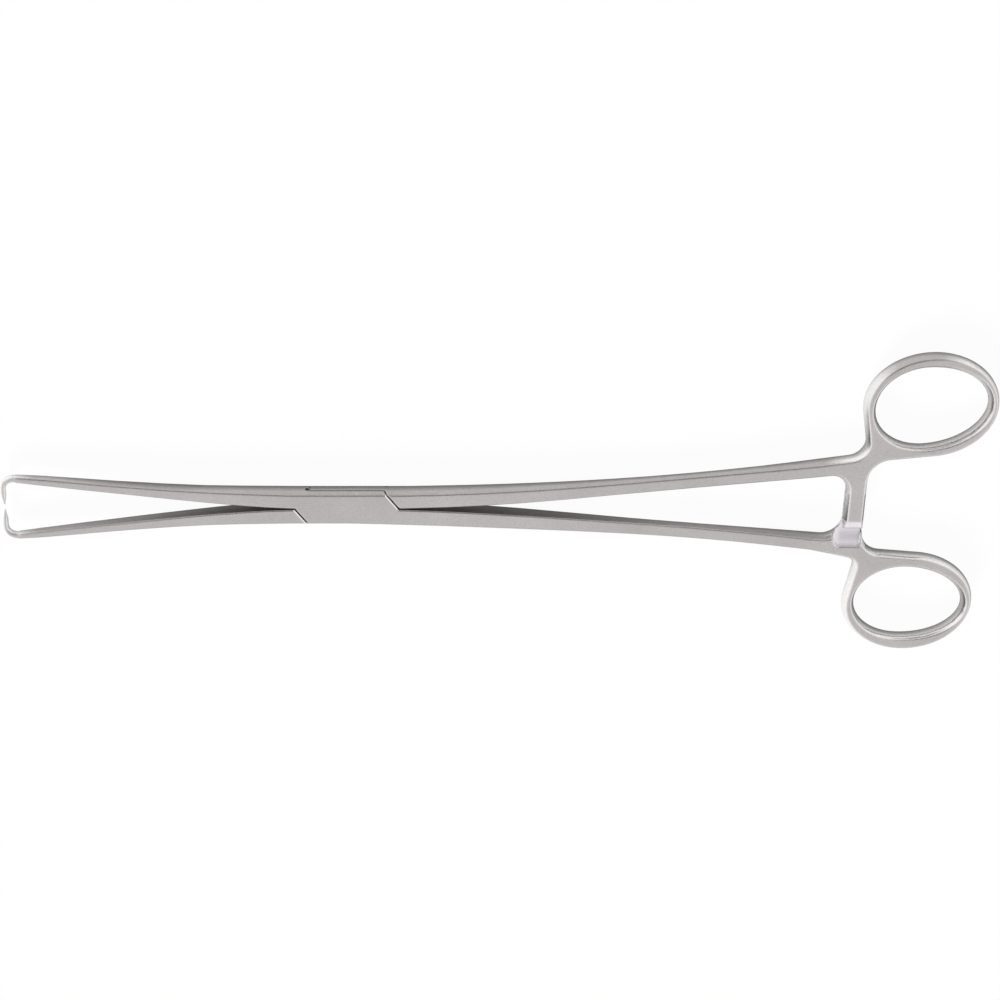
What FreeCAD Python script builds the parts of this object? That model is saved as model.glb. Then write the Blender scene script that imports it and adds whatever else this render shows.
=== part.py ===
"""Box-lock tenaculum forceps, 247.65 mm long, lying flat as in use on a tray.

Frame: X runs from the hooked tips to the finger rings, Y across the forceps, Z up.
The origin is on the pivot axis, at the underside of the box lock.
Each half is one forging: hook, jaw, lock, shank, ratchet bar and finger ring.
The halves are drawn the same way, one of them turned half a turn about X, apart from the lock:
the box half has a slot through it, the inner half a thin tongue that fills the slot.
A few sizes differ a little from half to half, as on any hand-finished pair.
All shapes are drawn about the middle plane, and lifted by half the lock's thickness last.
"""
import FreeCAD, Part
import collections
import math
import os

Vec = FreeCAD.Vector
Half = collections.namedtuple("Half", "tip_offset jaw_slope shank_start root_flare outer_slope "
                                      "flank_fillet shank_fillet ring_back open_half_width")

# Whole instrument, mm
overall_length = 247.65        # nine and three quarter inches
tip_reach = 85.4               # pivot axis to the outside of the hooks

# Box lock
lock_thickness = 5.7
lock_face_half_width = 3.66    # edge of the flat face from the middle line
lock_bulge = 1.1               # how far the rounded side wall stands out from the face edge
lock_root_length = 14.0        # straight part of each half beside the pivot
shoulder_distance = 10.0       # pivot axis to the slanting shoulder line, square to it
shoulder_angle = 38.9          # direction of that square line from X, degrees
shoulder_gap = 0.22            # the inner half's shoulder stands off the box by this
shoulder_bevel = 0.32
shoulder_groove_length = 7.0
crotch = 12.9                  # where the two halves part, from the pivot axis
half_parting = 0.12            # each half stays this far from the middle line
root_inner_bulge = 0.12
box_root_flare = 0.4           # the box half's shank is this much wider at its root

# Slot, tongue and pin
tongue_thickness = 2.46
tongue_radius = 10.3
tongue_inset = 0.06            # tongue edge below the box's side wall
slot_clearance = 0.05          # above and below the tongue
slot_end_clearance = 0.12
relief_diameter = 0.8          # drilled hole at each blind end of the slot
relief_inset = 0.45            # its centre from the end of the slot
relief_depth = 1.7
relief_height = 0.8            # off the middle plane
pin_diameter = 3.2
pin_head_diameter = 4.4
pin_head_depth = 0.5
pin_clearance = 0.05           # radial, in the tongue

# Jaws
jaw_parting_start = 27.0       # where the jaws start to part
jaw_parting_ease = 23.0        # length over which they ease apart
box_jaw_slope = 0.120
inner_jaw_slope = 0.142
jaw_mid_face_width = 2.28
jaw_mid_bulge = 0.5
jaw_end_half_thickness = 1.15
jaw_end_face_width = 1.09
jaw_end_bulge = 0.43

# Hooks
hook_bend_radius = 2.5         # centre line of the bend
hook_bend_run = 1.0            # from the end of the jaw to the centre of the bend
hook_width = 1.4
hook_taper_length = 3.2
hook_taper_width = 0.92        # half way along the taper
hook_point_width = 0.12
hook_point_lean = 0.2          # the point leans back towards the pivot by this
box_tip_offset = 0.10          # hook points from the middle line
inner_tip_offset = 1.10

# Shanks
box_shank_start = 21.0         # where the shanks start to part
inner_shank_start = 38.4
shank_parting_ease = 30.0
waist_from_ring = 54.4         # slimmest place of the shank, from the ring's centre
waist_half_thickness = 1.5
waist_face_width = 2.52
waist_inner_bulge = 0.6
waist_outer_bulge = 0.7
web_from_ring = 27.2           # where shank, ring and ratchet bar run together
web_inner_edge = 7.9           # its edge from the middle line
web_face_width = 2.68

# Finger rings, sizes of their outlines at the middle plane
ring_half_thickness = 2.4
ring_outer_bulge = 0.9
ring_inner_bulge = 1.0
ring_outer_half_length = 17.03
ring_outer_half_width = 13.76
ring_offset = 27.4             # ring centre from the middle line
box_ring_back = 0.35           # the box half's ring sits this much nearer the pivot

# Opening of a finger ring: blunter towards the pivot, its widest place nearer that end
open_from_ring = 1.4           # its widest place, from the ring's centre towards the pivot
open_offset = 27.12            # and from the middle line
open_near_length = 12.6        # from the widest place to the end nearer the pivot
open_far_length = 15.8
open_tilt = 4.5                # long axis leans outwards, degrees
inner_open_half_width = 10.4
box_open_half_width = 9.85
inner_outer_slope = 8.0        # shank's outer edge beside the ring, degrees
box_outer_slope = 12.5
ring_flank_angle = 100.7       # straight flank from the ring down to the shank, degrees
inner_flank_fillet = 4.2
box_flank_fillet = 2.2
ring_fillet = 5.6
inner_shank_fillet = 3.8
box_shank_fillet = 5.0

# Ratchet bars
bar_from_ring = 19.4           # bar's edge nearer the pivot, from the ring's centre
bar_width = 5.35
bar_overlap = 5.95             # each bar passes the middle line by this
bar_bevel_length = 2.3
bar_bevel_depth = 0.9
tooth_pitch = 2.4
tooth_count = 4
tooth_height = 0.65
tooth_land = 0.08              # flat tip of a tooth
tooth_gap = 0.16               # between one tooth and the next
tooth_side_inset = 0.08
first_tooth = 0.3              # from the end of the bar
tooth_tip_clearance = 0.05     # tooth tips from the middle plane
pocket_floor_end = 5.2         # flat part of the milled pocket, from the middle line
pocket_end = 10.8              # where the pocket's curved ramp reaches the face
pocket_side_run = 2.4          # the curved side starts this far outside the bar's edge
pocket_floor_corner = 0.6
pocket_face_corner = 2.0
pocket_far_past = 0.2          # it is cut this far beyond the bar's far edge
pocket_far_draw = 0.75         # but its far side leans in by this beyond the bar's end,
pocket_far_knee = 4.2          # starting here at the floor, from the middle line,
pocket_far_run = 3.2           # and this much further out at the face

past = 1.0                     # cutting shapes run past what they cut by this
far = 400.0

lock_half = lock_thickness / 2
tongue_half = tongue_thickness / 2
slot_half = tongue_half + slot_clearance
bar_floor = tooth_height + tooth_tip_clearance   # underside of the bar, from the middle plane
jaw_length = tip_reach - hook_width / 2 - hook_bend_radius - hook_bend_run
ring_position = overall_length - tip_reach - ring_outer_half_length
waist_position = ring_position - waist_from_ring
web_position = ring_position - web_from_ring
bar_inner_edge = ring_position - bar_from_ring

box_sizes = Half(box_tip_offset, box_jaw_slope, box_shank_start, box_root_flare, box_outer_slope,
                 box_flank_fillet, box_shank_fillet, box_ring_back, box_open_half_width)
inner_sizes = Half(inner_tip_offset, inner_jaw_slope, inner_shank_start, 0.0, inner_outer_slope,
                   inner_flank_fillet, inner_shank_fillet, 0.0, inner_open_half_width)


def wall_inset(half_thickness, bulge, z):
    """How far a side wall that bulges at the middle plane has drawn in at height z."""
    radius = (half_thickness ** 2 + bulge ** 2) / (2 * bulge)
    return radius - math.sqrt(radius ** 2 - z ** 2)


def limb_section(origin, across, width, half_thickness, inner_bulge, outer_bulge):
    """Closed section of a limb: two flat faces and two rounded side walls.

    origin is the inner face edge at the middle plane, across the unit vector to the outer edge.
    """
    up = Vec(0, 0, half_thickness)
    outer = origin + across * width
    top = Part.LineSegment(origin + up, outer + up)
    outer_wall = Part.Arc(outer + up, outer + across * outer_bulge, outer - up)
    bottom = Part.LineSegment(outer - up, origin - up)
    inner_wall = Part.Arc(origin - up, origin - across * inner_bulge, origin + up)
    return Part.Wire([curve.toShape() for curve in (top, outer_wall, bottom, inner_wall)])


def blend(start, end, share):
    """Value that eases from start to end as share goes from 0 to 1."""
    share = min(max(share, 0.0), 1.0)
    return start + (end - start) * share * share * (3 - 2 * share)


def parting(x, start, ease):
    """Distance that an edge has moved outwards at x, easing in about start, none at the root."""
    def rise(at):
        return (at - start + math.hypot(at - start, ease)) / 2
    return rise(x) - rise(lock_root_length)


def box_between(x0, x1, y0, y1, z0, z1):
    return Part.makeBox(x1 - x0, y1 - y0, z1 - z0, Vec(x0, y0, z0))


def extruded_outline(points, direction):
    return Part.Face(Part.makePolygon(points + points[:1])).extrude(direction)


def turned_over(shape):
    """The other half's copy: half a turn about the X axis."""
    copy = shape.copy()
    copy.rotate(Vec(0, 0, 0), Vec(1, 0, 0), 180)
    return copy


# Lock roots, shanks and jaws

def root_face_width(flare):
    return lock_face_half_width + flare - half_parting - root_inner_bulge


def root_section(x, side, flare):
    """Section beside the lock, where the limb's outer wall is the lock's own side wall."""
    origin = Vec(x, side * (half_parting + root_inner_bulge), 0)
    return limb_section(origin, Vec(0, side, 0), root_face_width(flare), lock_half,
                        root_inner_bulge, lock_bulge)


def root(direction, side, flare):
    """Start of a limb, from the pivot axis to lock_root_length."""
    sections = [root_section(0, side, 0.0), root_section(direction * lock_root_length, side, flare)]
    return Part.makeLoft(sections, True, True)


def shank_inner_edge(x, half):
    """Middle-plane edge of the shank that faces the other half."""
    whole = parting(web_position, half.shank_start, shank_parting_ease)
    share = parting(x, half.shank_start, shank_parting_ease) / whole
    return half_parting + (web_inner_edge - half_parting) * share


def shank_section(x, half):
    """Section of the shank at x, between the lock and the web."""
    to_waist = (x - lock_root_length) / (waist_position - lock_root_length)
    to_web = (x - waist_position) / (web_position - waist_position)

    def size(at_root, at_waist, at_web):
        return blend(blend(at_root, at_waist, to_waist), at_web, to_web)

    thickness = size(lock_half, waist_half_thickness, ring_half_thickness)
    inner_bulge = size(root_inner_bulge, waist_inner_bulge, ring_outer_bulge)
    outer_bulge = size(lock_bulge, waist_outer_bulge, ring_outer_bulge)
    width = size(root_face_width(half.root_flare), waist_face_width, web_face_width)
    origin = Vec(x, shank_inner_edge(x, half) + inner_bulge, 0)
    return limb_section(origin, Vec(0, 1, 0), width, thickness, inner_bulge, outer_bulge)


def shank(end_wire, half):
    """Shank from the lock root to the web, ending in the web's own section."""
    shares = (0.0, 0.16, 0.38, 0.62, 0.82)
    stations = [lock_root_length + share * (web_position - lock_root_length) for share in shares]
    return Part.makeLoft([shank_section(x, half) for x in stations] + [end_wire], True, False)


def jaw_inner_edge(x, half):
    return half_parting + half.jaw_slope * parting(x, jaw_parting_start, jaw_parting_ease)


def jaw_section(x, half):
    """Section of the jaw at the distance x from the pivot, on the tip side."""
    along = (x - lock_root_length) / (jaw_length - lock_root_length)
    to_middle, to_end = 2 * along, 2 * along - 1
    thickness = lock_half + (jaw_end_half_thickness - lock_half) * along
    width = blend(root_face_width(0.0), jaw_mid_face_width, to_middle)
    width += (jaw_end_face_width - jaw_mid_face_width) * max(to_end, 0.0)
    inner_bulge = blend(blend(root_inner_bulge, jaw_mid_bulge, to_middle), jaw_end_bulge, to_end)
    outer_bulge = blend(blend(lock_bulge, jaw_mid_bulge, to_middle), jaw_end_bulge, to_end)
    origin = Vec(-x, -(jaw_inner_edge(x, half) + inner_bulge), 0)
    return limb_section(origin, Vec(0, -1, 0), width, thickness, inner_bulge, outer_bulge)


def jaw(half):
    shares = (0.0, 0.18, 0.42, 0.70, 1.0)
    stations = [lock_root_length + share * (jaw_length - lock_root_length) for share in shares]
    return Part.makeLoft([jaw_section(x, half) for x in stations], True, False)


def hook_section(middle, toward, width):
    """Nearly round section of the hook, centred on middle; toward points to its outer side."""
    flat = width * 0.45
    bulge = (width - flat) / 2
    thickness = min(jaw_end_half_thickness, width * 0.55)
    return limb_section(middle - toward * (flat / 2), toward, flat, thickness, bulge, bulge)


def hook(half):
    """Hook from the end of the jaw: a bend towards the middle line and a tapering point."""
    jaw_end_width = jaw_end_face_width + 2 * jaw_end_bulge
    centre_y = -(jaw_inner_edge(jaw_length, half) + jaw_end_width / 2)
    bend_centre = Vec(-jaw_length - hook_bend_run, centre_y + hook_bend_radius, 0)
    outwards = Vec(-1, 0, 0)
    wires = [jaw_section(jaw_length, half)]
    for share in (0.33, 0.66, 1.0):
        angle = math.radians(90 * share)
        toward = Vec(-math.sin(angle), -math.cos(angle), 0)
        width = jaw_end_width + (hook_width - jaw_end_width) * share
        wires.append(hook_section(bend_centre + toward * hook_bend_radius, toward, width))
    line_x = -tip_reach + hook_width / 2
    taper_start = -(half.tip_offset + hook_taper_length)
    if taper_start > bend_centre.y + hook_width / 4:
        wires.append(hook_section(Vec(line_x, taper_start, 0), outwards, hook_width))
    taper_middle = Vec(line_x + hook_point_lean / 4, -half.tip_offset - hook_taper_length / 2, 0)
    wires.append(hook_section(taper_middle, outwards, hook_taper_width))
    point = Vec(line_x + hook_point_lean, -half.tip_offset, 0)
    wires.append(hook_section(point, outwards, hook_point_width))
    return Part.makeLoft(wires, True, False)


# Web, finger ring and ratchet bar

def ring_outline(half, inset):
    """Ellipse of the ring's outer wall, moved inwards by inset."""
    centre = Vec(ring_position - half.ring_back, ring_offset, 0)
    return Part.Ellipse(centre, ring_outer_half_length - inset, ring_outer_half_width - inset)


def ring_tangent(ellipse, angle, low, high):
    """Point of the ring's outline whose tangent runs at angle, and its parameter in low..high."""
    beta = math.radians(angle)
    t = math.atan2(-ellipse.MinorRadius * math.cos(beta), ellipse.MajorRadius * math.sin(beta))
    while not low <= t < high:
        t += math.pi
    return ellipse.value(t), t


def crossing(p, p_angle, q, q_angle):
    """Where the line through p meets the line through q, both given by direction angles."""
    pa, qa = math.radians(p_angle), math.radians(q_angle)
    d = Vec(math.cos(pa), math.sin(pa), 0)
    e = Vec(math.cos(qa), math.sin(qa), 0)
    s = ((q.x - p.x) * e.y - (q.y - p.y) * e.x) / (d.x * e.y - d.y * e.x)
    return p + d * s


def fillet_arc(before, corner, after, radius):
    """Arc of the given radius that rounds the corner, as its two ends and middle point."""
    u = (before - corner).normalize()
    v = (after - corner).normalize()
    half_angle = u.getAngle(v) / 2
    reach = radius / math.tan(half_angle)
    middle_line = (u + v).normalize()
    centre = corner + middle_line * (radius / math.sin(half_angle))
    return corner + u * reach, centre - middle_line * radius, corner + v * reach


def handle_outline(inset, z, half):
    """Outline of web, ring and ratchet bar, moved inwards by inset, at height z."""
    start = Vec(web_position - past, 0, 0)
    inner_y = shank_inner_edge(web_position, half)
    outer_y = inner_y + web_face_width + 2 * ring_outer_bulge
    inner_turn = math.atan2(inner_y - shank_inner_edge(web_position - past, half), past)
    outer_turn = math.radians(half.outer_slope)
    inner_point = Vec(web_position, inner_y, 0) + Vec(-math.sin(inner_turn), math.cos(inner_turn), 0) * inset
    outer_point = Vec(web_position, outer_y, 0) + Vec(math.sin(outer_turn), -math.cos(outer_turn), 0) * inset
    inner_angle = math.degrees(inner_turn)

    bar_start = Vec(bar_inner_edge + inset, -bar_overlap - past, 0)
    bar_end = Vec(bar_inner_edge + bar_width - inset, -bar_overlap - past, 0)
    ring = ring_outline(half, inset)
    lower_tangent, t1 = ring_tangent(ring, inner_angle, math.pi, 2 * math.pi)
    flank_tangent, t2 = ring_tangent(ring, ring_flank_angle, math.pi / 2, 3 * math.pi / 2)

    inner_start = crossing(inner_point, inner_angle, start, 90)
    outer_start = crossing(outer_point, half.outer_slope, start, 90)
    bar_corner = crossing(inner_point, inner_angle, bar_start, 90)
    ring_corner = crossing(lower_tangent, inner_angle, bar_end, 90)
    flank_corner = crossing(flank_tangent, ring_flank_angle, outer_point, half.outer_slope)

    shank_arc = fillet_arc(inner_start, bar_corner, bar_start, half.shank_fillet + inset)
    bar_arc = fillet_arc(bar_end, ring_corner, lower_tangent, ring_fillet + inset)
    flank_arc = fillet_arc(flank_tangent, flank_corner, outer_start, half.flank_fillet + inset)

    curves = [
        Part.LineSegment(outer_start, inner_start),
        Part.LineSegment(inner_start, shank_arc[0]),
        Part.Arc(*shank_arc),
        Part.LineSegment(shank_arc[2], bar_start),
        Part.LineSegment(bar_start, bar_end),
        Part.LineSegment(bar_end, bar_arc[0]),
        Part.Arc(*bar_arc),
        Part.LineSegment(bar_arc[2], lower_tangent),
        Part.ArcOfEllipse(ring, t1 - 2 * math.pi, t2),
        Part.LineSegment(flank_tangent, flank_arc[0]),
        Part.Arc(*flank_arc),
        Part.LineSegment(flank_arc[2], outer_start),
    ]
    wire = Part.Wire([curve.toShape() for curve in curves])
    wire.translate(Vec(0, 0, z))
    return wire


def ring_opening(inset, z, half):
    """Outline of the finger opening, two half ellipses, moved outwards by inset, at height z."""
    widest = Vec(ring_position - half.ring_back - open_from_ring, open_offset, z)
    tilt = math.radians(open_tilt)
    along = Vec(math.cos(tilt), math.sin(tilt), 0)
    across = Vec(-math.sin(tilt), math.cos(tilt), 0) * (half.open_half_width + inset)
    halves = []
    for length, start in ((open_far_length, -math.pi / 2), (open_near_length, math.pi / 2)):
        ellipse = Part.Ellipse(widest + along * (length + inset), widest + across, widest)
        halves.append(Part.ArcOfEllipse(ellipse, start, start + math.pi).toShape())
    return Part.Wire(halves)


def rounded_wall_loft(outline_at, bulge, half):
    """Solid between the two flat faces, whose side wall bulges at the middle plane."""
    wires = []
    for share in (-1.0, 0.0, 1.0):
        z = share * ring_half_thickness
        wires.append(outline_at(wall_inset(ring_half_thickness, bulge, z), z, half))
    return Part.makeLoft(wires, True, False)


def pocket_outline(share):
    """Outline of the pocket at a share of its depth, 0 at the floor and 1 at the face."""
    spread = math.sqrt(1 - (1 - min(share, 1.0)) ** 2)
    z = bar_floor - share * (bar_floor + ring_half_thickness)
    low = -bar_overlap - past
    left = bar_inner_edge - pocket_side_run * spread
    right = bar_inner_edge + bar_width + pocket_far_past
    far_right = right - pocket_far_draw * spread
    knee = pocket_far_knee + pocket_far_run * spread
    top = pocket_floor_end + (pocket_end - pocket_floor_end) * spread
    radius = pocket_floor_corner + (pocket_face_corner - pocket_floor_corner) * spread
    corner = fillet_arc(Vec(left, low, z), Vec(left, top, z), Vec(far_right, top, z), radius)
    return Part.Wire([
        Part.LineSegment(Vec(left, low, z), corner[0]).toShape(),
        Part.Arc(*corner).toShape(),
        Part.LineSegment(corner[2], Vec(far_right, top, z)).toShape(),
        Part.LineSegment(Vec(far_right, top, z), Vec(right, knee, z)).toShape(),
        Part.LineSegment(Vec(right, knee, z), Vec(right, low, z)).toShape(),
        Part.LineSegment(Vec(right, low, z), Vec(left, low, z)).toShape(),
    ])


def pocket():
    """Milled pocket that takes most of the thickness off the bar, with a curved ramp round it."""
    ramp = Part.makeLoft([pocket_outline(share) for share in (0.0, 0.1, 0.3, 0.6, 1.0)], True, False)
    mouth = Part.Face(pocket_outline(1.0)).extrude(Vec(0, 0, -past))
    return [ramp, mouth]


def ratchet_teeth():
    """Row of ratchet teeth under the bar: slanting on the closing side, upright on the other."""
    teeth = []
    root_z = bar_floor + tooth_tip_clearance
    for index in range(tooth_count):
        y = -bar_overlap + first_tooth + index * tooth_pitch
        upright = y + tooth_pitch - tooth_gap
        x = bar_inner_edge + tooth_side_inset
        points = [Vec(x, y, root_z), Vec(x, y, bar_floor), Vec(x, upright - tooth_land, tooth_tip_clearance),
                  Vec(x, upright, tooth_tip_clearance), Vec(x, upright, root_z)]
        teeth.append(extruded_outline(points, Vec(bar_width - 2 * tooth_side_inset, 0, 0)))
    return teeth


def bar_end_tools():
    """Cuts that shorten the bar square and bevel its end on the outer face."""
    x0, x1 = bar_inner_edge - past, bar_inner_edge + bar_width + past
    top = ring_half_thickness
    end = -bar_overlap
    square = box_between(x0, x1, end - 2 * past, end, -top - past, top + past)
    points = [Vec(x0, end - past, top + past), Vec(x0, end + bar_bevel_length, top + past),
              Vec(x0, end + bar_bevel_length, top), Vec(x0, end, top - bar_bevel_depth),
              Vec(x0, end - past, top - bar_bevel_depth)]
    return [square, extruded_outline(points, Vec(x1 - x0, 0, 0))]


def handle_end(half):
    """Web, finger ring and ratchet bar of one half, from web_position on."""
    body = rounded_wall_loft(handle_outline, ring_outer_bulge, half)
    body = body.cut(rounded_wall_loft(ring_opening, ring_inner_bulge, half))
    body = body.common(box_between(web_position, far, -far, far, -far, far))
    body = body.cut(pocket() + bar_end_tools())
    return body.fuse(ratchet_teeth())


def web_section(handle):
    """The cut face of the handle end where the shank joins it."""
    for face in handle.Faces:
        if all(abs(vertex.X - web_position) < 1e-6 for vertex in face.Vertexes):
            return face.OuterWire
    raise RuntimeError("the handle end has no face at the web")


def arms(half):
    """Both limbs of one half, joined only through the lock: ring side up, jaw side down."""
    handle = handle_end(half)
    right = root(1, 1, half.root_flare).fuse([shank(web_section(handle), half), handle])
    left = root(-1, -1, 0.0).fuse([jaw(half), hook(half)])
    return right, left


# Box lock

def shoulder_slab(low, high):
    """Everything whose distance along the shoulders' square line lies between low and high."""
    slab = box_between(low, high, -far, far, -far, far)
    slab.rotate(Vec(0, 0, 0), Vec(0, 0, 1), shoulder_angle)
    return slab


def lock_block(inset, length):
    """The lock's full section along X, with its side walls moved in by inset."""
    edge = lock_face_half_width - inset
    section = limb_section(Vec(-length, -edge, 0), Vec(0, 1, 0), 2 * edge, lock_half, lock_bulge, lock_bulge)
    return Part.Face(section).extrude(Vec(2 * length, 0, 0))


def shoulder_grooves():
    """Bevels along the slanting shoulders, on both faces of the lock."""
    reach = shoulder_bevel + shoulder_gap / 2
    foot_to_crotch = math.sqrt(crotch ** 2 - shoulder_distance ** 2)
    grooves = []
    for side in (1, -1):
        z = side * lock_half
        points = [Vec(-reach, 0, z), Vec(reach, 0, z), Vec(0, 0, z - side * reach)]
        groove = extruded_outline(points, Vec(0, shoulder_groove_length, 0))
        groove.translate(Vec(shoulder_distance + shoulder_gap / 2, -foot_to_crotch, 0))
        for turn in (0, 180):
            copy = groove.copy()
            copy.rotate(Vec(0, 0, 0), Vec(0, 0, 1), shoulder_angle + turn)
            grooves.append(copy)
    return grooves


def slot_tool():
    """What is cut out of the box half for the tongue and the limbs that swing in the slot."""
    height = 2 * slot_half
    disc = Part.makeCylinder(tongue_radius + slot_end_clearance, height, Vec(0, 0, -slot_half))
    right = box_between(0, far, -half_parting, far, -slot_half, slot_half)
    left = box_between(-far, 0, -far, half_parting, -slot_half, slot_half)
    return disc.fuse([right, left])


def relief_holes():
    """Small drilled holes at the blind ends of the slot, one on each side wall."""
    holes = []
    for side in (1, -1):
        wall = lock_face_half_width + lock_bulge
        start = Vec(-side * (tongue_radius - relief_inset), side * (wall + past), side * relief_height)
        holes.append(Part.makeCylinder(relief_diameter / 2, relief_depth + past, start, Vec(0, -side, 0)))
    return holes


def pivot_pin():
    """Rivet ground flush with the lock: straight shank with a shallow cone at each end."""
    half = lock_half
    radius, head_radius = pin_diameter / 2, pin_head_diameter / 2
    points = [Vec(0, 0, -half), Vec(head_radius, 0, -half), Vec(radius, 0, -half + pin_head_depth),
              Vec(radius, 0, half - pin_head_depth), Vec(head_radius, 0, half), Vec(0, 0, half)]
    face = Part.Face(Part.makePolygon(points + points[:1]))
    return face.revolve(Vec(0, 0, 0), Vec(0, 0, 1), 360)


def inner_half():
    """Half with the tongue: jaw on the lower left, ring on the upper right."""
    right, left = arms(inner_sizes)
    beyond = shoulder_distance + shoulder_gap
    outer_right = right.common(shoulder_slab(beyond, far))
    outer_left = left.common(shoulder_slab(-far, -beyond))
    layer = box_between(-crotch - past, crotch + past, -far, far, -tongue_half, tongue_half)
    disc = Part.makeCylinder(tongue_radius, tongue_thickness, Vec(0, 0, -tongue_half))
    tongue = lock_block(tongue_inset, lock_root_length).common(disc)
    necks = [limb.common(layer) for limb in (root(1, 1, 0.0), root(-1, -1, 0.0))]
    body = outer_right.fuse([outer_left, tongue] + necks)
    bore = Part.makeCylinder(pin_diameter / 2 + pin_clearance, lock_thickness, Vec(0, 0, -lock_half))
    return body.cut([bore] + shoulder_grooves())


def box_half():
    """Half with the slot: jaw on the upper left, ring on the lower right."""
    right, left = arms(box_sizes)
    walls = lock_block(0, crotch).common(shoulder_slab(-shoulder_distance, shoulder_distance))
    body = turned_over(right).fuse([turned_over(left), walls])
    return body.cut([slot_tool(), pivot_pin()] + shoulder_grooves() + relief_holes())


def write(name, shape):
    shape = shape.removeSplitter()
    shape.translate(Vec(0, 0, lock_half))
    solids = shape.Solids
    print(name, "solids", len(solids), "valid", shape.isValid(), "volume", round(shape.Volume, 2),
          "faces", len(shape.Faces))
    shape = solids[0] if len(solids) == 1 else Part.makeCompound(solids)
    shape.exportStep("parts/" + name + ".step")


os.makedirs("parts", exist_ok=True)
write("box_half", box_half())
write("inner_half", inner_half())
write("pivot_pin", pivot_pin())
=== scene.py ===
import bpy
import bmesh
from mathutils import Matrix, Vector

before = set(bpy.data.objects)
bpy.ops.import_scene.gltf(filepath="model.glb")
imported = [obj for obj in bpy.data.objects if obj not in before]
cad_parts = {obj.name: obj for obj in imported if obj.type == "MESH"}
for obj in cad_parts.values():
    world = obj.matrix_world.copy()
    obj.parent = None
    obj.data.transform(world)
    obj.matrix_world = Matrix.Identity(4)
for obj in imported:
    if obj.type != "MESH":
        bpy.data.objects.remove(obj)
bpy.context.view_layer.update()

scene = bpy.context.scene
scene.view_settings.view_transform = "Standard"
print("frame loaded, nodes:", ", ".join(sorted(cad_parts)))


# the camera stands on the +Y side and looks down, so the hooks are on the left of the picture
cameraView = {
    "place": (0.010, 0.21131, 0.45900),
    "aim": (0.038192, 0.002682, 0.00585),
    "sensor": 36.0,
    "lens": 72.07,
}


def placeCamera(view):
    data = bpy.data.cameras.new("benchCamera")
    data.sensor_width = view["sensor"]
    data.lens = view["lens"]
    camera = bpy.data.objects.new("benchCamera", data)
    scene.collection.objects.link(camera)
    place, aim = Vector(view["place"]), Vector(view["aim"])
    back = (place - aim).normalized()
    right = (Vector((1, 0, 0)) - back.x * back).normalized()
    up = back.cross(right)
    turn = Matrix((right, up, back)).transposed()
    camera.matrix_world = Matrix.Translation(place) @ turn.to_4x4()
    scene.camera = camera


placeCamera(cameraView)
print("camera placed")


def addNode(tree, kind, place, **settings):
    node = tree.nodes.new(kind)
    node.location = place
    for name, value in settings.items():
        setattr(node, name, value)
    return node


def emptyTree(owner):
    owner.use_nodes = True
    owner.node_tree.nodes.clear()
    return owner.node_tree


studio = {
    "floorLevel": -0.00005,       # just under the lock, so the two faces don't flicker
    "floorRadius": 3.0,
    "floorSides": 96,
    "floorColour": (0.90, 0.90, 0.90, 1),
    "whiteShare": 0.96,           # how much of what the camera sees of the floor is plain white
    "shineShare": 0.85,           # the same for what the steel mirrors
    "contactSamples": 8,
    "contactReach": 0.035,        # painted shade: the floor as the steel mirrors it darkens this near to the steel
    "contactDepth": 4.0,
    "contactFrom": (-0.80, -0.15, 0.58),      # least on the side that the room lights most
    "contactLeast": 0.11,         # and never gets darker than this
    "white": (1.0, 1.0, 1.0, 1),
    "endHorizon": (1.0, 1.0, 1.0, 1),         # the room as the steel mirrors it, off either end
    "sideHorizon": (0.32, 0.32, 0.33, 1),     # and off either side
    "sideUntil": 0.15,            # share of a direction that runs endwise
    "endFrom": 0.75,
    "horizonLow": 0.08,
    "horizonHigh": 0.34,
    "zenith": (0.98, 0.98, 0.99, 1),
    "standFrom": (0.0, 0.42, 0.906),          # the dark stand that the camera hangs from
    "standColour": (0.10, 0.10, 0.11, 1),
    "standInner": 0.95,
    "standOuter": 0.84,
    "fillStrength": 0.30,         # the room as a light on the floor
    "keyFrom": (-0.35, -0.80, 0.42),
    "keyStrength": 6.0,
    "keySoftness": 0.40,
}


def feed(tree, value, socket):
    if isinstance(value, bpy.types.NodeSocket):
        tree.links.new(value, socket)
    else:
        socket.default_value = value


def mixNode(tree, place, kind, indices, values):
    node = addNode(tree, "ShaderNodeMix", place, data_type=kind)
    for value, index in zip(values, indices):
        feed(tree, value, node.inputs[index])
    return node


def mixColours(tree, place, factor, first, second):
    return mixNode(tree, place, "RGBA", (0, 6, 7), (factor, first, second)).outputs[2]


def mixValues(tree, place, factor, first, second):
    return mixNode(tree, place, "FLOAT", (0, 2, 3), (factor, first, second)).outputs[0]


def mapRange(tree, place, value, low, high, newLow=0.0, newHigh=1.0):
    node = addNode(tree, "ShaderNodeMapRange", place)
    for socket, number in zip(node.inputs[1:5], (low, high, newLow, newHigh)):
        socket.default_value = number
    tree.links.new(value, node.inputs[0])
    return node.outputs[0]


def calculate(tree, place, operation, *values, **settings):
    node = addNode(tree, "ShaderNodeMath", place, operation=operation, **settings)
    for value, socket in zip(values, node.inputs):
        feed(tree, value, socket)
    return node.outputs[0]


def combine(tree, place, *values):
    node = addNode(tree, "ShaderNodeCombineXYZ", place)
    for value, socket in zip(values, node.inputs):
        feed(tree, value, socket)
    return node.outputs[0]


def measure(tree, place, vector):
    node = addNode(tree, "ShaderNodeVectorMath", place, operation="LENGTH")
    tree.links.new(vector, node.inputs[0])
    return node.outputs["Value"]


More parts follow.
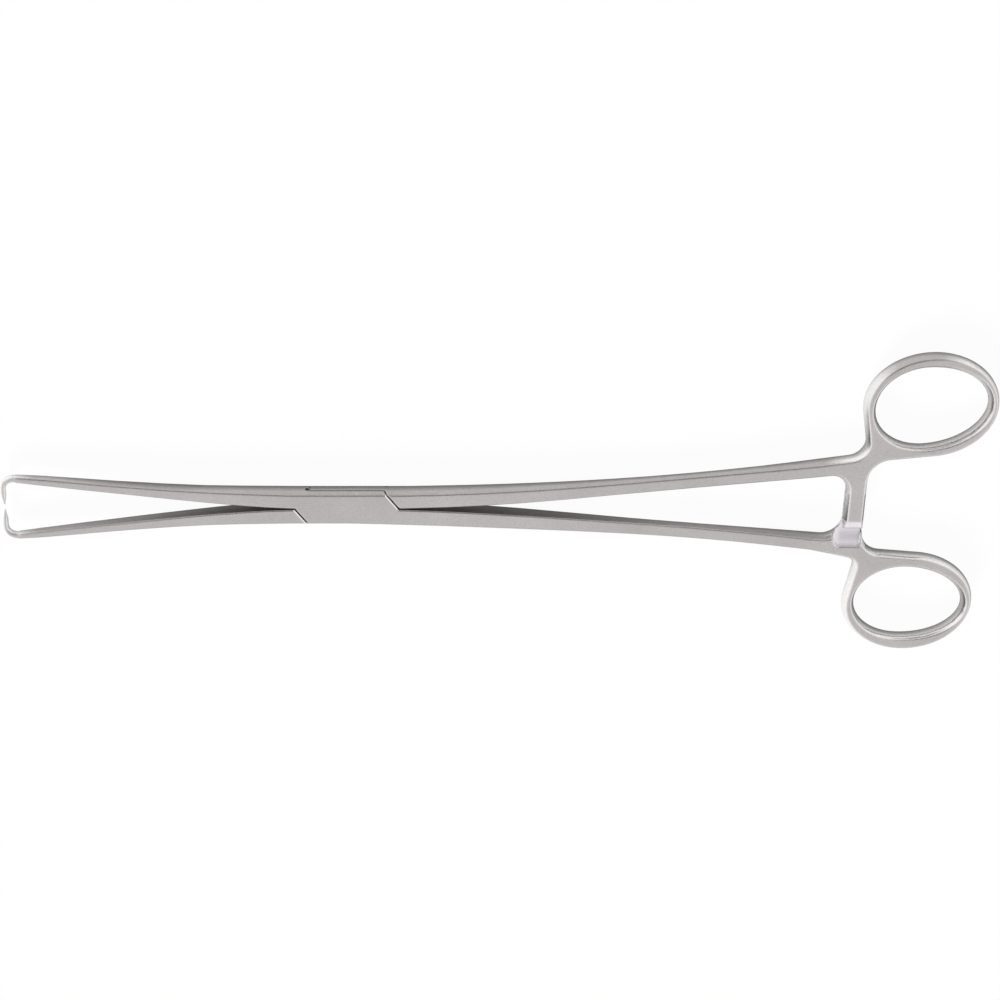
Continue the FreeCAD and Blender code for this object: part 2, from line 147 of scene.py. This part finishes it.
def mirroredRays(tree):
    # Light Path, with one value for every ray that comes off the steel
    rays = addNode(tree, "ShaderNodeLightPath", (-1100, 300))
    mirrored = calculate(tree, (-900, 250), "MAXIMUM", rays.outputs["Is Glossy Ray"],
                         rays.outputs["Is Transmission Ray"])
    return rays.outputs["Is Camera Ray"], mirrored


def layFloor(s):
    mesh = bpy.data.meshes.new("benchFloor")
    shape = bmesh.new()
    bmesh.ops.create_circle(shape, cap_ends=True, radius=s["floorRadius"], segments=s["floorSides"])
    bmesh.ops.translate(shape, verts=shape.verts, vec=(0, 0, s["floorLevel"]))
    shape.to_mesh(mesh)
    shape.free()
    floor = bpy.data.objects.new("benchFloor", mesh)
    scene.collection.objects.link(floor)
    material = bpy.data.materials.new("paleFloor")
    tree = emptyTree(material)
    seen, mirrored = mirroredRays(tree)
    share = calculate(tree, (-500, 300), "MULTIPLY_ADD", seen, s["whiteShare"],
                      calculate(tree, (-700, 250), "MULTIPLY", mirrored, s["shineShare"]), use_clamp=True)
    # painted contact shade: an ambient occlusion factor dims the floor's white glow, for mirrored rays only,
    # near the steel
    near = addNode(tree, "ShaderNodeAmbientOcclusion", (-1100, -200), samples=s["contactSamples"])
    near.inputs["Distance"].default_value = s["contactReach"]
    lean = combine(tree, (-1300, -200), *Vector(s["contactFrom"]).normalized())
    tree.links.new(lean, near.inputs["Normal"])
    clear = calculate(tree, (-750, -200), "MULTIPLY_ADD",
                      calculate(tree, (-900, -200), "POWER", near.outputs["AO"], s["contactDepth"]),
                      1.0 - s["contactLeast"], s["contactLeast"])
    matte = addNode(tree, "ShaderNodeBsdfDiffuse", (-300, 0))
    matte.inputs["Color"].default_value = s["floorColour"]
    white = addNode(tree, "ShaderNodeEmission", (-300, -150))
    tree.links.new(mixValues(tree, (-600, -150), mirrored, 1.0, clear), white.inputs["Strength"])
    mix = addNode(tree, "ShaderNodeMixShader", (0, 0))
    out = addNode(tree, "ShaderNodeOutputMaterial", (200, 0))
    tree.links.new(share, mix.inputs[0])
    tree.links.new(matte.outputs[0], mix.inputs[1])
    tree.links.new(white.outputs[0], mix.inputs[2])
    tree.links.new(mix.outputs[0], out.inputs["Surface"])
    mesh.materials.append(material)


def lightStudio(s):
    world = bpy.data.worlds.new("softRoom")
    scene.world = world
    tree = emptyTree(world)
    link = tree.links.new
    where = addNode(tree, "ShaderNodeTexCoord", (-1500, -100))
    way = addNode(tree, "ShaderNodeSeparateXYZ", (-1300, -100))
    link(where.outputs["Generated"], way.inputs[0])
    endwise = calculate(tree, (-1100, -50), "ABSOLUTE", way.outputs["X"])
    endwise = mapRange(tree, (-900, -50), endwise, s["sideUntil"], s["endFrom"])
    horizon = mixColours(tree, (-700, -50), endwise, s["sideHorizon"], s["endHorizon"])
    height = mapRange(tree, (-900, -300), way.outputs["Z"], s["horizonLow"], s["horizonHigh"])
    room = mixColours(tree, (-500, -50), height, horizon, s["zenith"])
    toStand = addNode(tree, "ShaderNodeVectorMath", (-1300, -500), operation="DOT_PRODUCT")
    link(where.outputs["Generated"], toStand.inputs[0])
    toStand.inputs[1].default_value = Vector(s["standFrom"]).normalized()
    stand = mapRange(tree, (-900, -500), toStand.outputs["Value"], s["standOuter"], s["standInner"])
    room = mixColours(tree, (-300, -100), stand, room, s["standColour"])
    seen, mirrored = mirroredRays(tree)
    colour = mixColours(tree, (-100, -100), mirrored, s["white"], room)
    strength = mixValues(tree, (-100, -300), calculate(tree, (-500, 300), "MAXIMUM", seen, mirrored),
                         s["fillStrength"], 1.0)
    light = addNode(tree, "ShaderNodeBackground", (150, 0))
    out = addNode(tree, "ShaderNodeOutputWorld", (350, 0))
    link(colour, light.inputs["Color"])
    link(strength, light.inputs["Strength"])
    link(light.outputs[0], out.inputs["Surface"])

    # the key lamp stands behind the forceps, so their shade falls on the floor on the camera's side
    lamp = bpy.data.lights.new("keyLamp", "SUN")
    lamp.energy = s["keyStrength"]
    lamp.angle = s["keySoftness"]
    key = bpy.data.objects.new("keyLamp", lamp)
    scene.collection.objects.link(key)
    key.rotation_euler = Vector(s["keyFrom"]).to_track_quat("Z", "Y").to_euler()
    key.visible_glossy = False


layFloor(studio)
lightStudio(studio)
print("floor and light ready")


def newGroup(name, inputs, outputs):
    group = bpy.data.node_groups.new(name, "ShaderNodeTree")
    for title, kind, value in inputs:
        socket = group.interface.new_socket(name=title, in_out="INPUT", socket_type=kind)
        if value is not None:
            socket.default_value = value
    for title, kind in outputs:
        group.interface.new_socket(name=title, in_out="OUTPUT", socket_type=kind)
    start = addNode(group, "NodeGroupInput", (-900, 0))
    end = addNode(group, "NodeGroupOutput", (900, 0))
    return group, start, end


def placeGroup(tree, place, group, **values):
    node = addNode(tree, "ShaderNodeGroup", place, node_tree=group)
    for title, value in values.items():
        feed(tree, value, node.inputs[title.replace("_", " ")])
    return node


edgePatches = {"samples": 8, "detail": 3.0, "spread": 0.8, "least": 0.6}


def softEdgeGroup(s):
    # edges are rounded by the buffing wheel: a smooth normal, and a mask that is 1 along them
    group, start, end = newGroup("softEdge", [
        ("Width", "NodeSocketFloat", 0.0003),
        ("Amount", "NodeSocketFloat", 6.0),
        ("Patch Scale", "NodeSocketFloat", 300.0)],
        [("Mask", "NodeSocketFloat"), ("Normal", "NodeSocketVector")])
    link = group.links.new
    rounded = addNode(group, "ShaderNodeBevel", (-600, 200), samples=s["samples"])
    true = addNode(group, "ShaderNodeNewGeometry", (-600, 0))
    alike = addNode(group, "ShaderNodeVectorMath", (-350, 100), operation="DOT_PRODUCT")
    link(start.outputs["Width"], rounded.inputs["Radius"])
    link(rounded.outputs[0], alike.inputs[0])
    link(true.outputs["Normal"], alike.inputs[1])
    turned = calculate(group, (-150, 100), "SUBTRACT", 1.0, alike.outputs["Value"], use_clamp=True)
    where = addNode(group, "ShaderNodeTexCoord", (-800, -250))
    patch = addNode(group, "ShaderNodeTexNoise", (-600, -250))
    patch.inputs["Detail"].default_value = s["detail"]
    link(where.outputs["Object"], patch.inputs["Vector"])
    link(start.outputs["Patch Scale"], patch.inputs["Scale"])
    broken = calculate(group, (-350, -250), "MULTIPLY_ADD", patch.outputs[0], s["spread"], s["least"])
    strong = calculate(group, (50, 100), "MULTIPLY", turned, start.outputs["Amount"])
    link(calculate(group, (250, 50), "MULTIPLY", strong, broken, use_clamp=True), end.inputs["Mask"])
    link(rounded.outputs[0], end.inputs["Normal"])
    return group


grainNoise = {
    "stretch": (0.09, 1.0, 1.0),
    "lineDetail": 2.0,
    "lineRoughness": 0.6,
    "cloudDetail": 4.0,
    "cloudRoughness": 0.55,
    "speckScale": 2600.0,
    "speckDetail": 2.0,
}


def satinGrainGroup(s):
    # fine lines along the instrument, with slow clouds of lighter and darker steel over them
    group, start, end = newGroup("satinGrain", [
        ("Line Scale", "NodeSocketFloat", 9000.0),
        ("Cloud Scale", "NodeSocketFloat", 70.0)],
        [("Lines", "NodeSocketFloat"), ("Clouds", "NodeSocketFloat"), ("Specks", "NodeSocketFloat")])
    where = addNode(group, "ShaderNodeTexCoord", (-900, -250))
    stretch = addNode(group, "ShaderNodeMapping", (-700, 0))
    stretch.inputs["Scale"].default_value = s["stretch"]
    lines = addNode(group, "ShaderNodeTexNoise", (-450, 100))
    lines.inputs["Detail"].default_value = s["lineDetail"]
    lines.inputs["Roughness"].default_value = s["lineRoughness"]
    clouds = addNode(group, "ShaderNodeTexNoise", (-450, -150))
    clouds.inputs["Detail"].default_value = s["cloudDetail"]
    clouds.inputs["Roughness"].default_value = s["cloudRoughness"]
    specks = addNode(group, "ShaderNodeTexNoise", (-450, -400))
    specks.inputs["Scale"].default_value = s["speckScale"]
    specks.inputs["Detail"].default_value = s["speckDetail"]
    link = group.links.new
    link(where.outputs["Object"], stretch.inputs["Vector"])
    link(stretch.outputs[0], lines.inputs["Vector"])
    link(start.outputs["Line Scale"], lines.inputs["Scale"])
    link(where.outputs["Object"], clouds.inputs["Vector"])
    link(start.outputs["Cloud Scale"], clouds.inputs["Scale"])
    link(where.outputs["Object"], specks.inputs["Vector"])
    link(lines.outputs[0], end.inputs["Lines"])
    link(clouds.outputs[0], end.inputs["Clouds"])
    link(specks.outputs[0], end.inputs["Specks"])
    return group


# limits of the finishes, in metres, or as the upward share of the way a surface faces
zoneLimits = {
    "wallUntil": 0.85,
    "faceFrom": 0.94,
    "polishBlend": 0.003,
    "crownX": 0.141,
    "crownFull": 0.0055,          # along the ring, from its middle
    "crownEnd": 0.0115,
    "crownLow": 0.0330,           # across the forceps
    "crownHigh": 0.0365,
    "grooveFacing": 0.7071,
    "grooveExact": 0.012,
    "grooveLoose": 0.024,
    "lockReach": 0.0145,
    "middle": 0.00285,            # height of the plane between the two sides
    "barX": 0.1275,
    "barHalf": 0.0045,
    "pocketY": 0.0075,
    "pocketHalf": 0.0038,
    "pocketDeep": 0.00225,        # from the middle plane
    "pocketFace": 0.00238,
    "pocketSteep": 0.1,
    "pocketLevel": 0.3,
    "holeX": 0.00985,
    "holeDrop": 0.0008,           # down at one end of the slot and up at the other
    "holeInner": 0.00041,
    "holeOuter": 0.00044,
    "holeSide": 0.002,
    "pinRim": 0.0027,
    "pinClear": 0.0031,
}


def finishZonesGroup(s):
    # where each finish lies, from the place on the forceps and the way the surface faces
    group, start, end = newGroup("finishZones", [
        ("Ring Start", "NodeSocketFloat", 0.118),
        ("Hook Start", "NodeSocketFloat", -0.080),
        ("Crown", "NodeSocketFloat", 0.0)],
        [("Face", "NodeSocketFloat"), ("Polish", "NodeSocketFloat"), ("Groove", "NodeSocketFloat"),
         ("Pocket", "NodeSocketFloat"), ("Hole", "NodeSocketFloat"), ("Edges", "NodeSocketFloat")])
    link = group.links.new

    def work(spot, operation, *values):
        return calculate(group, spot, operation, *values)

    where = addNode(group, "ShaderNodeTexCoord", (-900, -200))
    place = addNode(group, "ShaderNodeSeparateXYZ", (-700, -200))
    facing = addNode(group, "ShaderNodeSeparateXYZ", (-700, 100))
    link(where.outputs["Object"], place.inputs[0])
    link(where.outputs["Normal"], facing.inputs[0])
    x, y, z = (place.outputs[axis] for axis in "XYZ")
    fromMiddle = work((-500, 0), "ABSOLUTE", x)
    across = work((-500, -550), "ABSOLUTE", y)
    upward = work((-500, 200), "ABSOLUTE", facing.outputs["Z"])
    link(mapRange(group, (0, 300), upward, s["wallUntil"], s["faceFrom"]), end.inputs["Face"])

    # one ring's crown has had less of the buffing wheel
    pastRing = work((-500, -50), "SUBTRACT", x, start.outputs["Ring Start"])
    pastHook = work((-500, -200), "SUBTRACT", start.outputs["Hook Start"], x)
    nearer = work((-200, -100), "MAXIMUM", pastRing, pastHook)
    buffed = mapRange(group, (0, -100), nearer, -s["polishBlend"], s["polishBlend"])
    outer = mapRange(group, (-500, 500), y, s["crownLow"], s["crownHigh"])
    along = work((-500, 650), "ABSOLUTE", work((-650, 650), "SUBTRACT", x, s["crownX"]))
    along = mapRange(group, (-300, 650), along, s["crownFull"], s["crownEnd"], 1.0, 0.0)
    crown = work((-100, 550), "MULTIPLY", work((-300, 500), "MULTIPLY", start.outputs["Crown"], outer), along)
    rest = work((100, 500), "SUBTRACT", 1.0, crown)
    link(work((200, -100), "MULTIPLY", buffed, rest), end.inputs["Polish"])

    # the grooves along the lock's slanting shoulders are the only surfaces there at 45 degrees
    slant = work((-300, 200), "ABSOLUTE", work((-400, 200), "SUBTRACT", upward, s["grooveFacing"]))
    slant = work((-200, 250), "ADD", slant, work((-350, 300), "LESS_THAN", facing.outputs["X"], 0.0))
    slant = mapRange(group, (0, 150), slant, s["grooveExact"], s["grooveLoose"], 1.0, 0.0)
    atLock = work((-200, 50), "LESS_THAN", fromMiddle, s["lockReach"])
    link(work((200, 100), "MULTIPLY", slant, atLock), end.inputs["Groove"])

    # milled pocket and bar end: below the ring's flat faces, on surfaces that look up or down
    depth = work((-500, -700), "ABSOLUTE", work((-650, -700), "SUBTRACT", z, s["middle"]))
    inBar = work((-200, -550), "MULTIPLY",
                 work((-350, -500), "COMPARE", x, s["barX"], s["barHalf"]),
                 work((-350, -650), "COMPARE", across, s["pocketY"], s["pocketHalf"]))
    sunk = work((-200, -700), "MULTIPLY",
                mapRange(group, (-350, -800), depth, s["pocketDeep"], s["pocketFace"], 1.0, 0.0),
                mapRange(group, (-350, -1000), upward, s["pocketSteep"], s["pocketLevel"]))
    link(work((0, -600), "MULTIPLY", inBar, sunk), end.inputs["Pocket"])

    # drilled holes at the ends of the slot, painted black inside as shade
    level = work((-500, -1300), "MULTIPLY_ADD", work((-650, -900), "SIGN", x), -s["holeDrop"], s["middle"])
    fromHole = measure(group, (-50, -1200), combine(group, (-200, -1200),
                                                    work((-350, -1150), "SUBTRACT", fromMiddle, s["holeX"]),
                                                    work((-350, -1300), "SUBTRACT", z, level)))
    link(work((150, -1200), "MULTIPLY",
              mapRange(group, (100, -1100), fromHole, s["holeInner"], s["holeOuter"], 1.0, 0.0),
              work((0, -1350), "GREATER_THAN", across, s["holeSide"])), end.inputs["Hole"])

    # the pin is ground flush with the lock, so its rim is no worn edge
    fromPin = measure(group, (-300, -400), combine(group, (-500, -400), x, y))
    link(mapRange(group, (0, -400), fromPin, s["pinRim"], s["pinClear"]), end.inputs["Edges"])
    return group


softEdge = softEdgeGroup(edgePatches)
satinGrain = satinGrainGroup(grainNoise)
finishZones = finishZonesGroup(zoneLimits)
print("finishes ready")

boxSteel = {
    "faceColour": (0.545, 0.513, 0.508, 1),    # ground flat, under a satin grain
    "satinColour": (0.60, 0.568, 0.561, 1),     # side walls of lock, jaws and shanks
    "polishColour": (0.93, 0.91, 0.90, 1),     # side walls of ring and hook
    "satinEdgeColour": (0.56, 0.535, 0.53, 1),
    "polishEdgeColour": (0.80, 0.78, 0.77, 1),
    # painted shade inside the drilled holes
    "holeShadeColour": (0.03, 0.03, 0.03, 1),
    "grooveColour": (0.92, 0.91, 0.90, 1),     # milled bright
    "pocketColour": (0.97, 0.93, 0.965, 1),
    "faceRoughness": 0.42,
    "satinRoughness": 0.40,
    "polishRoughness": 0.08,
    "edgeRoughness": 0.16,
    "grooveRoughness": 0.18,
    "pocketRoughness": 0.55,
    "ringStart": 0.1225,
    "hookStart": -0.080,
    "crown": 0.0,
    "lineScale": 9000.0,
    "cloudScale": 70.0,
    "toneSpread": 0.10,
    "speckSpread": 0.18,
    "roughSpread": 0.20,
    "grainHeight": 0.000004,
    "grainStrength": 0.35,
    "wallHeight": 0.5,            # the walls have no grain lines
    "edgeWidth": 0.00075,
    "edgeAmount": 16.0,
}
innerSteel = dict(boxSteel, polishRoughness=0.12, crown=1.0)
pinSteel = dict(boxSteel, faceRoughness=0.38)


noiseLow, noiseHigh = 0.3, 0.7     # nearly all of a noise lies between these


def vary(tree, place, noise, spread):
    return mapRange(tree, place, noise, noiseLow, noiseHigh, 1 - spread / 2, 1 + spread / 2)


def steelMaterial(name, s):
    material = bpy.data.materials.new(name)
    tree = emptyTree(material)
    link = tree.links.new
    zones = placeGroup(tree, (-1700, 0), finishZones, Ring_Start=s["ringStart"], Hook_Start=s["hookStart"],
                       Crown=s["crown"])
    face, polish = zones.outputs["Face"], zones.outputs["Polish"]
    grain = placeGroup(tree, (-1300, -300), satinGrain,
                       Line_Scale=s["lineScale"], Cloud_Scale=s["cloudScale"])
    width = calculate(tree, (-1500, -550), "MULTIPLY", zones.outputs["Edges"], s["edgeWidth"])
    edge = placeGroup(tree, (-1300, -550), softEdge, Amount=s["edgeAmount"], Width=width)

    wallColour = mixColours(tree, (-1100, 450), polish, s["satinColour"], s["polishColour"])
    colour = mixColours(tree, (-900, 400), face, wallColour, s["faceColour"])
    tone = calculate(tree, (-650, -300), "MULTIPLY",
                     vary(tree, (-900, -250), grain.outputs["Clouds"], s["toneSpread"]),
                     vary(tree, (-900, -500), grain.outputs["Lines"], s["toneSpread"]))
    tone = calculate(tree, (-500, -300), "MULTIPLY", tone,
                     vary(tree, (-700, -500), grain.outputs["Specks"], s["speckSpread"]))
    toned = addNode(tree, "ShaderNodeVectorMath", (-600, 300), operation="SCALE")
    link(colour, toned.inputs[0])
    link(tone, toned.inputs["Scale"])
    colour = mixColours(tree, (-500, 300), zones.outputs["Pocket"], toned.outputs[0], s["pocketColour"])
    edgeColour = mixColours(tree, (-600, 500), polish, s["satinEdgeColour"], s["polishEdgeColour"])
    colour = mixColours(tree, (-400, 300), edge.outputs["Mask"], colour, edgeColour)
    # painted shade: the inside of each drilled hole is made near-black
    colour = mixColours(tree, (-300, 300), zones.outputs["Hole"], colour, s["holeShadeColour"])
    colour = mixColours(tree, (-200, 300), zones.outputs["Groove"], colour, s["grooveColour"])

    wallRough = mixValues(tree, (-1100, 150), polish, s["satinRoughness"], s["polishRoughness"])
    rough = mixValues(tree, (-900, 100), face, wallRough, s["faceRoughness"])
    rough = calculate(tree, (-600, 50), "MULTIPLY", rough,
                      vary(tree, (-900, -750), grain.outputs["Specks"], s["roughSpread"]))
    rough = mixValues(tree, (-500, 50), zones.outputs["Pocket"], rough, s["pocketRoughness"])
    rough = mixValues(tree, (-400, 50), edge.outputs["Mask"], rough, s["edgeRoughness"])
    rough = mixValues(tree, (-200, 50), zones.outputs["Groove"], rough, s["grooveRoughness"])

    height = mixValues(tree, (-650, -100), face, s["wallHeight"], grain.outputs["Lines"])
    bump = addNode(tree, "ShaderNodeBump", (-200, -200))
    bump.inputs["Strength"].default_value = s["grainStrength"]
    bump.inputs["Distance"].default_value = s["grainHeight"]
    link(height, bump.inputs["Height"])
    link(edge.outputs["Normal"], bump.inputs["Normal"])

    steel = addNode(tree, "ShaderNodeBsdfPrincipled", (50, 200))
    steel.inputs["Metallic"].default_value = 1.0
    out = addNode(tree, "ShaderNodeOutputMaterial", (350, 200))
    link(colour, steel.inputs["Base Color"])
    link(rough, steel.inputs["Roughness"])
    link(bump.outputs[0], steel.inputs["Normal"])
    link(steel.outputs[0], out.inputs["Surface"])
    return material


def dress(node, material):
    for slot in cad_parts[node].material_slots:
        slot.link = "OBJECT"
        slot.material = material
    print(node, "dressed in", material.name)


dress("box_half", steelMaterial("boxSteel", boxSteel))
dress("inner_half", steelMaterial("innerSteel", innerSteel))
dress("pivot_pin", steelMaterial("pinSteel", pinSteel))
